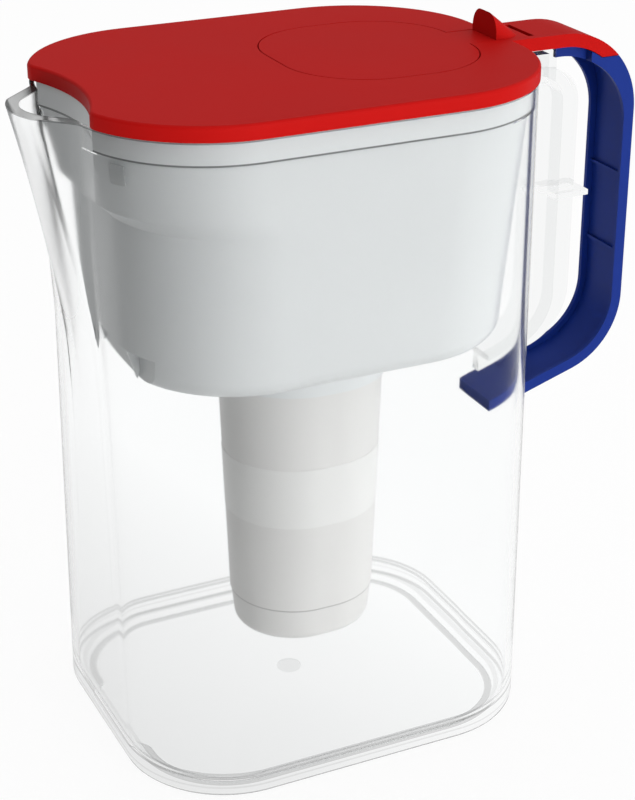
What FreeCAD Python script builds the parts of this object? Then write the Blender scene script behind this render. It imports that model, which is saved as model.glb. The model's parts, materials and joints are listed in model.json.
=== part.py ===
"""Water filter pitcher, in millimetres, +Z up, +X towards the handle, -X towards the spout.

The origin is the middle of the base, on the face that the pitcher stands on.
A clear jug with a pouring spout carries a C-shaped handle. A reservoir hangs inside its rim,
the filter cartridge hangs through the reservoir's floor, and a lid with a refill door closes it.
"""
import FreeCAD
import Part
import math
import os

V = FreeCAD.Vector
UP = V(0, 0, 1)
ACROSS = V(0, 1, 0)

# Clear jug: a rounded box that widens a little from its base to its rim.
JUG_HEIGHT = 262.0
BASE_LEFT = 84.0
BASE_RIGHT = 85.2
BASE_HALF_WIDTH = 72.8
BASE_CORNER = 43.0
WAIST_DROP = 92.0
WAIST_LEFT = 84.4
RIM_HALF_LENGTH = 90.0
RIM_HALF_WIDTH = 70.2
RIM_CORNER = 51.5
JUG_WALL = 2.6
RIM_WALL = 1.8
RIM_DEPTH = 9.4
FLOOR_THICKNESS = 4.0
FOOT_WIDTH = 8.0
FOOT_GROOVE_WIDTH = 3.0
FOOT_GROOVE_DEPTH = 0.8
BASE_ROUND = 2.8
FLOOR_ROUND = 6.0
GATE_RADIUS = 5.0
GATE_HEIGHT = 0.8

# Spout: a blunt beak on the end wall, growing out of it towards the rim.
SPOUT_REACH = 16.5
SPOUT_DEPTH = 166.0
SPOUT_WALL = 3.0
SPOUT_HALF_WIDTH = 13.5
SPOUT_FOOT_HALF_WIDTH = 21.0
SPOUT_SAG = 3.6
SPOUT_FOOT_SAG = 0.5
SPOUT_EMBED = 0.5
SPOUT_ROOT = 15.0
SPOUT_HEIGHT_SHARES = (0.0, 0.22, 0.42, 0.62, 0.82, 1.0)

# Lugs on the wall below the rim, beside the spout.
LUG_HEIGHT = 7.0
LUG_DROP = 2.0
LUG_DEPTH = 0.5
LUG_LENGTH = 8.0
LUG_Y = 41.0

# Clearances.
SEAT_GAP = 0.3
FIT_GAP = 0.35
OVERRUN = 20.0

# Reservoir: a rim band in the jug's mouth and a tapered tub below it.
BAND_WALL = 1.8
TUB_WALL = 2.0
TUB_INSET = 3.5
TUB_DEPTH = 101.3
TUB_RIGHT_INSET = 7.9
TUB_SIDE_INSET = 10.8
TUB_CORNER_INSET = 1.2
TUB_ROUND = 8.0
END_INSET = 6.4
END_LOW_INSET = 11.4
TUB_LEFT_INSET = 9.4
END_STEP_DROP = 32.0
END_STEP_HEIGHT = 5.5
SHALLOW_LENGTH = 6.0
SHALLOW_RISE = 13.0
RIB_THICKNESS = 2.0
RIB_WIDTH = 9.0
RIB_Y = 20.0

# Filter cartridge, an oval tube that hangs through the reservoir's floor.
FILTER_X = 5.8
OVAL_STRAIGHT = 3.5
COLLAR_DEPTH = 17.0
COLLAR_WALL = 1.3
FILTER_TOP_RADIUS = 29.6
FILTER_SEAM_RADIUS = 26.3
FILTER_FLOOR_GAP = 27.0
FILTER_BASE_HEIGHT = 15.0
FILTER_SEAM_STEP = 0.4
FILTER_BOTTOM_RADIUS = 24.4
FILTER_BOTTOM_ROUND = 4.0
FILTER_WALL = 1.6
SEAL_WIDTH = 4.0
SEAL_THICKNESS = 1.2
FLANGE_THICKNESS = 2.2
CAP_HEIGHT = 11.0
CAP_LEAN = 6.0
CAP_WALL = 1.6
CAP_SPIGOT = 3.0
LOOP_HEIGHT = 12.0
LOOP_RADIUS = 11.0
LOOP_WIDTH = 7.0
LOOP_THICKNESS = 2.4
SCREEN_THICKNESS = 1.0
BASE_SPIGOT = 4.0
SLOT_WIDTH = 2.0
CAP_SLOTS = 6
CAP_SLOT_LENGTH = 9.0
BASE_SLOT_LENGTH = 16.0
BASE_SLOT_PITCH = 6.0
BASE_SLOT_SIDE_COUNT = 2

# Lid: a shallow cover with a scallop at the spout and a tail over the handle.
LID_OVERHANG = 0.5
LID_HEIGHT = 5.7
LID_PLATE = 2.5
LID_SKIRT_WALL = 2.2
LID_EDGE_ROUND = 1.2
SCALLOP_DEPTH = 9.4
SCALLOP_RADIUS = 80.0
SCALLOP_LAND = 0.8
SCALLOP_ROUND = 8.0
PLUG_DEPTH = 5.0
PLUG_WALL = 1.6
PLUG_GAP = 0.8

# Refill door in the lid, with a thumb tab over its hinge.
HATCH_HALF_LENGTH = 38.7
HATCH_HALF_WIDTH = 41.0
HATCH_CORNER = 32.0
HATCH_GAP = 0.5
LIP_WIDTH = 2.5
LIP_WALL = 2.0
LIP_THICKNESS = 2.0
TAB_LENGTH = 14.0
TAB_HEIGHT = 9.4
TAB_HALF_WIDTH = 9.2
TAB_ROUND = 6.0
TAB_HEEL = 2.2
TAB_SETBACK = 11.5
NECK_ROOT = 8.0
SLOT_GAP = 0.4
HINGE_REACH = 9.0
HINGE_DROP = 1.9
KNUCKLE_RADIUS = 1.8
PIN_RADIUS = 1.2
PIN_CLEARANCE = 0.06
PIN_REACH = 3.0

# Handle: outer line of the grip and the tail, then the finger line of the clear frame.
HANDLE_REACH = 58.0
HANDLE_TOP_BEND = 34.0
HANDLE_LOW_BEND = 32.0
HANDLE_DROP = 149.8
HANDLE_ARM_SLOPE = 17.5
TAIL_THICKNESS = 5.2
TAIL_HALF_WIDTH = 13.2
TAIL_ROOT_DEPTH = 8.0
TAIL_END_DROP = 11.0
GRIP_HALF_WIDTH = 13.0
GRIP_DEPTH = 4.5
GRIP_WALL = 1.8
GRIP_RIB = 1.4
GRIP_RIB_HEIGHT = 1.2
GRIP_RIB_DROPS = (56.0, 89.0)
GRIP_TOP_DEPTH = 10.0
GRIP_TOP_BEND = 28.7
GRIP_START_REACH = 22.0
GRIP_END_REACH = 13.0
TONGUE_HALF_WIDTH = 9.0
TONGUE_REACH = 36.5
FINGER_DROP = 13.0
FINGER_REACH = 24.0
FINGER_TOP_BEND = 10.0
FINGER_LOW_BEND = 20.0
FINGER_ARM_RISE = 23.8
FRAME_STRIP = 2.4
FRAME_STRIP_HALF_WIDTH = 10.0
FRAME_BAR = 4.4
FRAME_BAR_DEPTH = 14.5
FRAME_BAR_TOP_BEND = 15.0
FRAME_BAR_LOW_BEND = 26.0
FRAME_BAR_ARM_DEPTH = 10.0
FRAME_BRIDGE_DROP = 62.0
FRAME_BRIDGE = 2.2
FRAME_BRIDGE_HALF_WIDTH = 8.5
FRAME_BRIDGE_REACH = 3.0
ARM_BOX_WALL = 2.2
ARM_BOX_HALF_WIDTH = 11.0

# Heights that follow from the sizes above.
WAIST_HEIGHT = JUG_HEIGHT - WAIST_DROP
SPOUT_START = JUG_HEIGHT - SPOUT_DEPTH
TUB_BOTTOM = JUG_HEIGHT - TUB_DEPTH
END_STEP_TOP = JUG_HEIGHT - END_STEP_DROP
END_STEP_LOW = END_STEP_TOP - END_STEP_HEIGHT
FILTER_BOTTOM_Z = FLOOR_THICKNESS + FILTER_FLOOR_GAP
FILTER_SEAM_Z = FILTER_BOTTOM_Z + FILTER_BASE_HEIGHT
RIM_LEDGE = JUG_HEIGHT - RIM_DEPTH
BAND_BOTTOM = RIM_LEDGE + SEAT_GAP
LID_BOTTOM = JUG_HEIGHT + SEAT_GAP
LID_TOP = LID_BOTTOM + LID_HEIGHT
LID_UNDER = LID_TOP - LID_PLATE
TUB_FLOOR = TUB_BOTTOM + TUB_WALL
COLLAR_BOTTOM = TUB_BOTTOM - COLLAR_DEPTH
SEAL_BOTTOM = TUB_FLOOR + SEAT_GAP
SEAL_TOP = SEAL_BOTTOM + SEAL_THICKNESS
FLANGE_TOP = SEAL_TOP + FLANGE_THICKNESS
HINGE_Z = LID_TOP - HINGE_DROP
LIP_TOP = LID_UNDER - SEAT_GAP
TAIL_END_Z = LID_TOP - TAIL_END_DROP
GRIP_SEAT = TAIL_THICKNESS + SEAT_GAP
GRIP_SHOULDER = TAIL_END_Z - SEAT_GAP
HANDLE_ARM_Z = JUG_HEIGHT - HANDLE_DROP
FINGER_TOP = JUG_HEIGHT - FINGER_DROP
FINGER_ARM_Z = HANDLE_ARM_Z + FINGER_ARM_RISE
FRAME_BRIDGE_Z = JUG_HEIGHT - FRAME_BRIDGE_DROP

# Reaches along X that follow from the rim.
LID_HALF_LENGTH = RIM_HALF_LENGTH + LID_OVERHANG
LID_HALF_WIDTH = RIM_HALF_WIDTH + LID_OVERHANG
LID_CORNER = RIM_CORNER + LID_OVERHANG
SCALLOP_X = RIM_HALF_LENGTH - SCALLOP_DEPTH
HINGE_X = RIM_HALF_LENGTH + HINGE_REACH
TAB_X = HINGE_X - TAB_LENGTH
HATCH_END = TAB_X - TAB_SETBACK
HATCH_X = HATCH_END - HATCH_HALF_LENGTH
TAIL_ROOT = RIM_HALF_LENGTH - TAIL_ROOT_DEPTH
HANDLE_OUT = RIM_HALF_LENGTH + HANDLE_REACH
GRIP_START = RIM_HALF_LENGTH + GRIP_START_REACH
GRIP_END_BLOCK = RIM_HALF_LENGTH + GRIP_END_REACH
TONGUE_END = RIM_HALF_LENGTH + TONGUE_REACH
FINGER_OUT = RIM_HALF_LENGTH + FINGER_REACH


def mix(low, high, share):
    """Value that lies a share of the way from low to high."""
    return low + (high - low) * share


def turn(centre, radius, start, end):
    """Flat arc about centre, from one angle in degrees to another."""
    def at(angle):
        rad = math.radians(angle)
        return centre + V(math.cos(rad), math.sin(rad), 0) * radius
    return Part.Arc(at(start), at((start + end) / 2), at(end)).toShape()


def outline(left, right, half_width, corner, z):
    """Rounded rectangle at height z, from X = -left to X = right."""
    centres = (V(right - corner, half_width - corner, z), V(corner - left, half_width - corner, z),
               V(corner - left, corner - half_width, z), V(right - corner, corner - half_width, z))
    arcs = [turn(centre, corner, 90 * n, 90 * (n + 1)) for n, centre in enumerate(centres)]
    edges = []
    for arc, following in zip(arcs, arcs[1:] + arcs[:1]):
        edges.append(arc)
        edges.append(Part.makeLine(arc.lastVertex().Point, following.firstVertex().Point))
    return Part.Wire(edges)


def oval(radius, z):
    """Oval at height z on the filter's axis: two half circles joined by short straights."""
    left = V(FILTER_X - OVAL_STRAIGHT, 0, z)
    right = V(FILTER_X + OVAL_STRAIGHT, 0, z)
    side = ACROSS * radius
    return Part.Wire([turn(right, radius, -90, 90), Part.makeLine(right + side, left + side),
                      turn(left, radius, 90, 270), Part.makeLine(left - side, right - side)])


def prism(wire, height):
    """Solid that stands on a flat wire."""
    return Part.Face(wire).extrude(UP * height)


def oval_prism(radius, z, height):
    return prism(oval(radius, z), height)


def ring(outer, inner, height):
    """Wall between two flat wires at one height."""
    return prism(outer, height).cut(prism(inner, height))


def slab(low, high):
    """Box from its low corner to its high one."""
    size = high - low
    return Part.makeBox(size.x, size.y, size.z, low)


def rod(radius, half_length, x, z):
    """Round rod along Y, centred on Y = 0."""
    return Part.makeCylinder(radius, 2 * half_length, V(x, -half_length, z), ACROSS)


def across(edges, half_width):
    """Closed outline in the XZ plane, drawn out to both sides of Y = 0."""
    face = Part.Face(Part.Wire(edges))
    face.translate(ACROSS * -half_width)
    return face.extrude(ACROSS * 2 * half_width)


def polygon(points):
    """Straight edges round a closed list of points."""
    return [Part.makeLine(a, b) for a, b in zip(points, points[1:] + points[:1])]


def edges_at(shape, z):
    """Edges that lie flat at height z."""
    tiny = SEAT_GAP / 100
    return [e for e in shape.Edges if abs(e.BoundBox.ZMin - z) < tiny and abs(e.BoundBox.ZMax - z) < tiny]


# Clear jug

def jug_right(z):
    """Reach of the handle end at height z, on a straight slope."""
    return mix(BASE_RIGHT, RIM_HALF_LENGTH, z / JUG_HEIGHT)


def jug_left(z):
    """Reach of the spout end at height z: upright to the waist, then leaning out to the rim."""
    if z < WAIST_HEIGHT:
        return mix(BASE_LEFT, WAIST_LEFT, z / WAIST_HEIGHT)
    return mix(WAIST_LEFT, RIM_HALF_LENGTH, (z - WAIST_HEIGHT) / (JUG_HEIGHT - WAIST_HEIGHT))


def jug_half_width(z):
    return mix(BASE_HALF_WIDTH, RIM_HALF_WIDTH, z / JUG_HEIGHT)


def jug_corner(z):
    return mix(BASE_CORNER, RIM_CORNER, z / JUG_HEIGHT)


def jug_outline(z, inset):
    """The jug's outline at height z, moved inwards."""
    return outline(jug_left(z) - inset, jug_right(z) - inset, jug_half_width(z) - inset,
                   jug_corner(z) - inset, z)


def jug_block(low, high, inset):
    """Stretch of the jug between two heights, moved inwards."""
    heights = [low] + [z for z in (WAIST_HEIGHT,) if low < z < high] + [high]
    return Part.makeLoft([jug_outline(z, inset) for z in heights], True, True)


def spout_outline(z, inset):
    """Beak at height z: a shallow arc for its lip and flanks that run back at 45 degrees."""
    share = (z - SPOUT_START) / (JUG_HEIGHT - SPOUT_START)
    bulge = SPOUT_REACH * share ** 2 - SPOUT_EMBED
    sag = mix(SPOUT_FOOT_SAG, SPOUT_SAG, share)
    half = mix(SPOUT_FOOT_HALF_WIDTH, SPOUT_HALF_WIDTH, share) - inset / 2
    tip = inset - jug_left(z) - bulge
    root = SPOUT_ROOT - jug_left(z)
    root_half = half + root - tip - sag
    near, far = V(tip + sag, -half, z), V(tip + sag, half, z)
    lip = Part.Arc(near, V(tip, 0, z), far).toShape()
    flanks = [far, V(root, root_half, z), V(root, -root_half, z), near]
    return Part.Wire([lip] + [Part.makeLine(a, b) for a, b in zip(flanks, flanks[1:])])


def spout_block(inset, top):
    heights = [mix(SPOUT_START, top, share) for share in SPOUT_HEIGHT_SHARES]
    return Part.makeLoft([spout_outline(z, inset) for z in heights], True, False)


def jug_solid():
    """The whole jug filled in, for its outside and for what is shaped to its wall."""
    block = jug_block(0, JUG_HEIGHT, 0)
    block = block.makeFillet(BASE_ROUND, edges_at(block, 0))
    return block.fuse(spout_block(0, JUG_HEIGHT))


def lug(side):
    """Small lug on the wall under the reservoir's band."""
    top = RIM_LEDGE - LUG_DROP
    inside = jug_block(top - LUG_HEIGHT, top, JUG_WALL - SEAT_GAP)
    face = jug_block(top - LUG_HEIGHT, top, JUG_WALL + LUG_DEPTH)
    middle = side * LUG_Y
    window = slab(V(-RIM_HALF_LENGTH, middle - LUG_LENGTH / 2, 0),
                  V(0, middle + LUG_LENGTH / 2, JUG_HEIGHT))
    return inside.cut(face).common(window)


def pitcher_body(solid):
    cavity = jug_block(FLOOR_THICKNESS, JUG_HEIGHT, JUG_WALL)
    cavity = cavity.makeFillet(FLOOR_ROUND, edges_at(cavity, FLOOR_THICKNESS))
    mouth = jug_block(RIM_LEDGE, JUG_HEIGHT + OVERRUN, RIM_WALL)
    body = solid.cut(cavity.fuse(mouth)).cut(spout_block(SPOUT_WALL, JUG_HEIGHT + OVERRUN))
    groove_inner = jug_outline(0, FOOT_WIDTH + FOOT_GROOVE_WIDTH)
    body = body.cut(ring(jug_outline(0, FOOT_WIDTH), groove_inner, FOOT_GROOVE_DEPTH))
    gate = Part.makeCylinder(GATE_RADIUS, GATE_HEIGHT + FLOOR_THICKNESS / 2, V(0, 0, FLOOR_THICKNESS / 2))
    return body.fuse(gate).fuse(lug(1)).fuse(lug(-1)).removeSplitter()


# Reservoir

def scallop(offset, z, height):
    """Round notch at the spout end, whose wall is moved towards the handle by offset."""
    centre = V(-SCALLOP_X - SCALLOP_RADIUS, 0, z)
    return Part.makeCylinder(SCALLOP_RADIUS + offset, height, centre)


def end_low_left():
    """Reach of the tub's spout end just under its step."""
    return jug_left(END_STEP_LOW) - END_LOW_INSET


def tub_left():
    return jug_left(TUB_BOTTOM) - TUB_LEFT_INSET


def tub_block(inset, bottom, top):
    """The tub's outside moved inwards: a tapered box whose spout end steps in half way down."""
    rim_left = jug_left(BAND_BOTTOM) - TUB_INSET
    rim_right = jug_right(BAND_BOTTOM) - TUB_INSET
    rim_half_width = jug_half_width(BAND_BOTTOM) - TUB_INSET
    rim_corner = jug_corner(BAND_BOTTOM) - TUB_INSET
    low_right = jug_right(TUB_BOTTOM) - TUB_RIGHT_INSET
    low_half_width = jug_half_width(TUB_BOTTOM) - TUB_SIDE_INSET
    low_corner = jug_corner(TUB_BOTTOM) - TUB_CORNER_INSET
    lefts = ((top, rim_left), (END_STEP_TOP, jug_left(END_STEP_TOP) - END_INSET),
             (END_STEP_LOW, end_low_left()), (bottom, tub_left()))
    wires = []
    for z, left in lefts:
        share = (BAND_BOTTOM - z) / (BAND_BOTTOM - TUB_BOTTOM)
        wires.append(outline(left - inset, mix(rim_right, low_right, share) - inset,
                             mix(rim_half_width, low_half_width, share) - inset,
                             mix(rim_corner, low_corner, share) - inset, z))
    block = Part.makeLoft(wires, True, True)
    block = block.makeFillet(TUB_ROUND - inset, edges_at(block, bottom))
    shallow = slab(V(-RIM_HALF_LENGTH, -RIM_HALF_WIDTH, 0),
                   V(inset + SHALLOW_LENGTH - tub_left(), RIM_HALF_WIDTH, bottom + SHALLOW_RISE))
    return block.cut(shallow)


def end_rib(side):
    """Pointed rib under the shallow end of the tub."""
    top = TUB_BOTTOM + SHALLOW_RISE + TUB_WALL / 2
    left = RIB_THICKNESS - end_low_left()
    points = [V(left, 0, top), V(left + RIB_WIDTH, 0, top), V(left + RIB_WIDTH / 2, 0, TUB_BOTTOM)]
    rib = across(polygon(points), RIB_THICKNESS / 2)
    rib.translate(ACROSS * side * RIB_Y)
    return rib


def reservoir():
    band_inset = RIM_WALL + FIT_GAP
    band_height = JUG_HEIGHT - BAND_BOTTOM
    band = prism(jug_outline(BAND_BOTTOM, band_inset), band_height)
    outside = band.fuse(tub_block(0, TUB_BOTTOM, BAND_BOTTOM))
    outside = outside.cut(scallop(SCALLOP_LAND, 0, JUG_HEIGHT)).fuse(end_rib(1)).fuse(end_rib(-1))
    basin = tub_block(TUB_WALL, TUB_FLOOR, BAND_BOTTOM + TUB_WALL)
    mouth = prism(jug_outline(BAND_BOTTOM + TUB_WALL, band_inset + BAND_WALL), band_height)
    inside = basin.fuse(mouth).cut(scallop(SCALLOP_LAND + TUB_WALL, 0, 2 * JUG_HEIGHT))
    bore = FILTER_TOP_RADIUS + FIT_GAP
    collar = oval_prism(bore + COLLAR_WALL, COLLAR_BOTTOM, COLLAR_DEPTH + TUB_WALL / 2)
    hole = oval_prism(bore, COLLAR_BOTTOM - OVERRUN, COLLAR_DEPTH + 2 * OVERRUN)
    return outside.cut(inside).fuse(collar).cut(hole).removeSplitter()


# Filter cartridge

def filter_radius(z):
    """Outer radius of the tapered tube at height z."""
    share = (z - FILTER_SEAM_Z) / (COLLAR_BOTTOM - FILTER_SEAM_Z)
    return mix(FILTER_SEAM_RADIUS, FILTER_TOP_RADIUS, min(share, 1))


def filter_tube(inset, low, high):
    """Tapered stretch up to the collar, then straight."""
    wires = [oval(filter_radius(z) - inset, z) for z in (low, COLLAR_BOTTOM)]
    taper = Part.makeLoft(wires, True, True)
    return taper.fuse(oval_prism(FILTER_TOP_RADIUS - inset, COLLAR_BOTTOM, high - COLLAR_BOTTOM))


def filter_housing():
    tube = filter_tube(0, FILTER_SEAM_Z, FLANGE_TOP)
    flange = oval_prism(FILTER_TOP_RADIUS + SEAL_WIDTH, SEAL_TOP, FLANGE_THICKNESS)
    bore = filter_tube(FILTER_WALL, FILTER_SEAM_Z, FLANGE_TOP)
    return tube.fuse(flange).cut(bore).removeSplitter()


def filter_seal():
    outer = oval(FILTER_TOP_RADIUS + SEAL_WIDTH, SEAL_BOTTOM)
    return ring(outer, oval(FILTER_TOP_RADIUS + FIT_GAP, SEAL_BOTTOM), SEAL_THICKNESS)


def filter_base():
    """Bottom cup with a spigot inside the tube and drain slots in its floor."""
    sizes = ((FILTER_BOTTOM_RADIUS, FILTER_BOTTOM_Z),
             (FILTER_SEAM_RADIUS - FILTER_SEAM_STEP, FILTER_SEAM_Z))
    cup = Part.makeLoft([oval(radius, z) for radius, z in sizes], True, True)
    cup = cup.makeFillet(FILTER_BOTTOM_ROUND, edges_at(cup, FILTER_BOTTOM_Z))
    spigot = oval_prism(FILTER_SEAM_RADIUS - FILTER_WALL, FILTER_SEAM_Z, BASE_SPIGOT)
    hollow_radius = FILTER_BOTTOM_RADIUS - FILTER_WALL - COLLAR_WALL
    hollow_depth = FILTER_SEAM_Z - FILTER_BOTTOM_Z + BASE_SPIGOT
    hollow = oval_prism(hollow_radius, FILTER_BOTTOM_Z + FILTER_WALL, hollow_depth)
    base = cup.fuse(spigot).cut(hollow)
    for step in range(-BASE_SLOT_SIDE_COUNT, BASE_SLOT_SIDE_COUNT + 1):
        x = FILTER_X + step * BASE_SLOT_PITCH
        base = base.cut(slab(V(x - SLOT_WIDTH / 2, -BASE_SLOT_LENGTH, 0),
                             V(x + SLOT_WIDTH / 2, BASE_SLOT_LENGTH, FILTER_BOTTOM_Z + 2 * FILTER_WALL)))
    return base.removeSplitter()


def screen_low():
    return FILTER_SEAM_Z + BASE_SPIGOT


def bottom_screen():
    return oval_prism(FILTER_SEAM_RADIUS - FILTER_WALL - SEAT_GAP, screen_low(), SCREEN_THICKNESS)


def cap_radius():
    return FILTER_TOP_RADIUS - FILTER_WALL


def top_screen():
    low = FLANGE_TOP - CAP_SPIGOT - SCREEN_THICKNESS
    return oval_prism(cap_radius() - SEAT_GAP, low, SCREEN_THICKNESS)


def filter_media():
    """Bed of granules between the two screens."""
    low = screen_low() + SCREEN_THICKNESS
    high = FLANGE_TOP - CAP_SPIGOT - SCREEN_THICKNESS
    return filter_tube(FILTER_WALL + SEAT_GAP, low, high).removeSplitter()


def filter_cap():
    """Sloped cap with inlet slots and a pull loop, pushed into the tube."""
    outer = FILTER_TOP_RADIUS + SEAL_WIDTH
    top = FLANGE_TOP + CAP_HEIGHT
    dome = Part.makeLoft([oval(outer, FLANGE_TOP), oval(outer - CAP_LEAN, top)], True, True)
    spigot = oval_prism(cap_radius(), FLANGE_TOP - CAP_SPIGOT, CAP_SPIGOT)
    sizes = ((cap_radius() - CAP_WALL, FLANGE_TOP - CAP_SPIGOT),
             (outer - CAP_LEAN - CAP_WALL, top - CAP_WALL))
    hollow = Part.makeLoft([oval(radius, z) for radius, z in sizes], True, True)
    cap = dome.fuse(spigot).cut(hollow)
    middle = FLANGE_TOP + CAP_HEIGHT / 2
    for side in (-1, 1):
        for step in range(CAP_SLOTS):
            x = FILTER_X + (step - (CAP_SLOTS - 1) / 2) * 2 * SLOT_WIDTH
            y = side * (outer - CAP_LEAN / 2)
            cap = cap.cut(slab(V(x - SLOT_WIDTH / 2, y - CAP_LEAN, middle - CAP_SLOT_LENGTH / 3),
                               V(x + SLOT_WIDTH / 2, y + CAP_LEAN, middle + CAP_SLOT_LENGTH / 3)))
    arch = rod(LOOP_RADIUS, LOOP_WIDTH / 2, FILTER_X, top).cut(
        rod(LOOP_RADIUS - LOOP_THICKNESS, LOOP_WIDTH, FILTER_X, top))
    above = slab(V(FILTER_X - outer, -outer, top - CAP_WALL / 2),
                 V(FILTER_X + outer, outer, top + LOOP_HEIGHT))
    return cap.fuse(arch.common(above)).removeSplitter()


# Handle

def handle_line(start, top, out, top_bend, low_bend, arm_z, end):
    """Line in the XZ plane: level top, bend, upright, bend and a sloping arm back to the jug."""
    slope = math.radians(HANDLE_ARM_SLOPE)
    run = jug_right(HANDLE_ARM_Z)
    corner_z = arm_z + (out - run) * math.tan(slope)
    back = low_bend * math.tan((math.pi / 2 - slope) / 2)
    high_mid = V(out - top_bend, 0, top - top_bend) + V(math.sqrt(0.5), 0, math.sqrt(0.5)) * top_bend
    low_centre = V(out - low_bend, 0, corner_z + back)
    half = (math.pi / 2 - slope) / 2
    low_mid = low_centre + V(math.cos(half), 0, -math.sin(half)) * low_bend
    arm_start = V(out - back * math.cos(slope), 0, corner_z - back * math.sin(slope))
    arm_end = V(end, 0, arm_z + (end - run) * math.tan(slope))
    level_end = V(out - top_bend, 0, top)
    upright_top = V(out, 0, top - top_bend)
    upright_low = V(out, 0, low_centre.z)
    return [Part.makeLine(V(start, 0, top), level_end),
            Part.Arc(level_end, high_mid, upright_top).toShape(),
            Part.makeLine(upright_top, upright_low),
            Part.Arc(upright_low, low_mid, arm_start).toShape(),
            Part.makeLine(arm_start, arm_end)]


def outer_line(depth, start, end):
    """The handle's outer line, moved inwards by depth."""
    rise = depth / math.cos(math.radians(HANDLE_ARM_SLOPE))
    return handle_line(start, LID_TOP - depth, HANDLE_OUT - depth, HANDLE_TOP_BEND - depth,
                       HANDLE_LOW_BEND - depth, HANDLE_ARM_Z + rise, end)


def finger_line(depth, start, end):
    """The line that the fingers meet, moved outwards by depth."""
    rise = depth / math.cos(math.radians(HANDLE_ARM_SLOPE))
    return handle_line(start, FINGER_TOP + depth, FINGER_OUT + depth, FINGER_TOP_BEND + depth,
                       FINGER_LOW_BEND + depth, FINGER_ARM_Z - rise, end)


def strip(outer, inner, half_width):
    """Solid between two handle lines."""
    ends = [Part.makeLine(outer[-1].lastVertex().Point, inner[-1].lastVertex().Point),
            Part.makeLine(inner[0].firstVertex().Point, outer[0].firstVertex().Point)]
    back = [edge.copy() for edge in reversed(inner)]
    return across(outer + ends[:1] + back + ends[1:], half_width)


def tail_room(depth, floor):
    """Space above a height and outside the handle line at depth."""
    start, end = TAIL_ROOT, 0
    space = strip(outer_line(-BAND_WALL, start, end), outer_line(depth, start, end), RIM_HALF_WIDTH)
    window = slab(V(0, -RIM_HALF_WIDTH, floor), V(2 * HANDLE_OUT, RIM_HALF_WIDTH, 2 * LID_TOP))
    return space.common(window)


def tongue_room(half_width, end):
    """Space on both sides of the tongue that lies under the lid's tail."""
    low = FINGER_TOP - OVERRUN
    near = slab(V(0, -RIM_HALF_WIDTH, low), V(end, -half_width, LID_TOP))
    far = slab(V(0, half_width, low), V(end, RIM_HALF_WIDTH, LID_TOP))
    return near.fuse(far)


def handle_grip(solid):
    """Shallow channel round the outside of the handle, its top end tucked under the lid's tail."""
    end = 0
    inner = handle_line(GRIP_START, LID_TOP - GRIP_TOP_DEPTH, HANDLE_OUT - GRIP_DEPTH, GRIP_TOP_BEND,
                        HANDLE_LOW_BEND - GRIP_DEPTH,
                        HANDLE_ARM_Z + GRIP_DEPTH / math.cos(math.radians(HANDLE_ARM_SLOPE)), end)
    block = strip(outer_line(0, GRIP_START, end), inner, GRIP_HALF_WIDTH)
    block = block.cut(tail_room(GRIP_SEAT, GRIP_SHOULDER)).cut(tongue_room(TONGUE_HALF_WIDTH, TONGUE_END))
    inner_half = GRIP_HALF_WIDTH - GRIP_WALL
    hollow = strip(outer_line(GRIP_WALL, GRIP_START - GRIP_WALL, end),
                   outer_line(2 * GRIP_TOP_DEPTH, GRIP_START - GRIP_WALL, end), inner_half)
    hollow = hollow.cut(tail_room(GRIP_SEAT + GRIP_WALL, GRIP_SHOULDER - GRIP_WALL))
    hollow = hollow.cut(tongue_room(TONGUE_HALF_WIDTH - GRIP_WALL, TONGUE_END + GRIP_WALL))
    hollow = hollow.cut(slab(V(0, -GRIP_HALF_WIDTH, 0),
                             V(GRIP_END_BLOCK, GRIP_HALF_WIDTH, FRAME_BRIDGE_Z)))
    ribs = []
    for drop in GRIP_RIB_DROPS:
        middle = JUG_HEIGHT - drop
        ribs.append(slab(V(HANDLE_OUT - GRIP_WALL - GRIP_RIB_HEIGHT, -inner_half, middle - GRIP_RIB / 2),
                         V(HANDLE_OUT - GRIP_WALL / 2, inner_half, middle + GRIP_RIB / 2)))
    return block.cut(hollow).fuse(ribs).cut(solid).removeSplitter()


def handle_frame(solid):
    """Clear frame: a finger strip, a bar behind it and a box arm under the lid's tail."""
    start, end = TAIL_ROOT, 0
    finger = strip(finger_line(FRAME_STRIP, start, end), finger_line(0, start, end), FRAME_STRIP_HALF_WIDTH)
    bar_line = handle_line(start, FINGER_TOP + FRAME_STRIP, FINGER_OUT + FRAME_BAR_DEPTH,
                           FRAME_BAR_TOP_BEND, FRAME_BAR_LOW_BEND, FINGER_ARM_Z - FRAME_BAR_ARM_DEPTH, end)
    bar = strip(bar_line, finger_line(0, start, end), FRAME_BAR / 2)
    bar_end = FINGER_OUT + FRAME_BAR_DEPTH
    bridge_end = bar_end + FRAME_BRIDGE_REACH
    bridge = slab(V(FINGER_OUT, -FRAME_BRIDGE_HALF_WIDTH, FRAME_BRIDGE_Z - FRAME_BRIDGE / 2),
                  V(bridge_end, FRAME_BRIDGE_HALF_WIDTH, FRAME_BRIDGE_Z + FRAME_BRIDGE / 2))
    core = bar.fuse([finger, bridge])
    box_end = GRIP_START - SEAT_GAP
    box = slab(V(0, -ARM_BOX_HALF_WIDTH, FINGER_TOP), V(box_end, ARM_BOX_HALF_WIDTH, JUG_HEIGHT))
    inner_half = ARM_BOX_HALF_WIDTH - ARM_BOX_WALL
    room = slab(V(0, -inner_half, 0), V(box_end - ARM_BOX_WALL, inner_half, JUG_HEIGHT - ARM_BOX_WALL))
    return core.fuse(box.cut(room)).cut(solid).removeSplitter()


# Lid and refill door

def lid_outline(inset, z):
    half_length = LID_HALF_LENGTH - inset
    return outline(half_length, half_length, LID_HALF_WIDTH - inset, LID_CORNER - inset, z)


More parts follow.
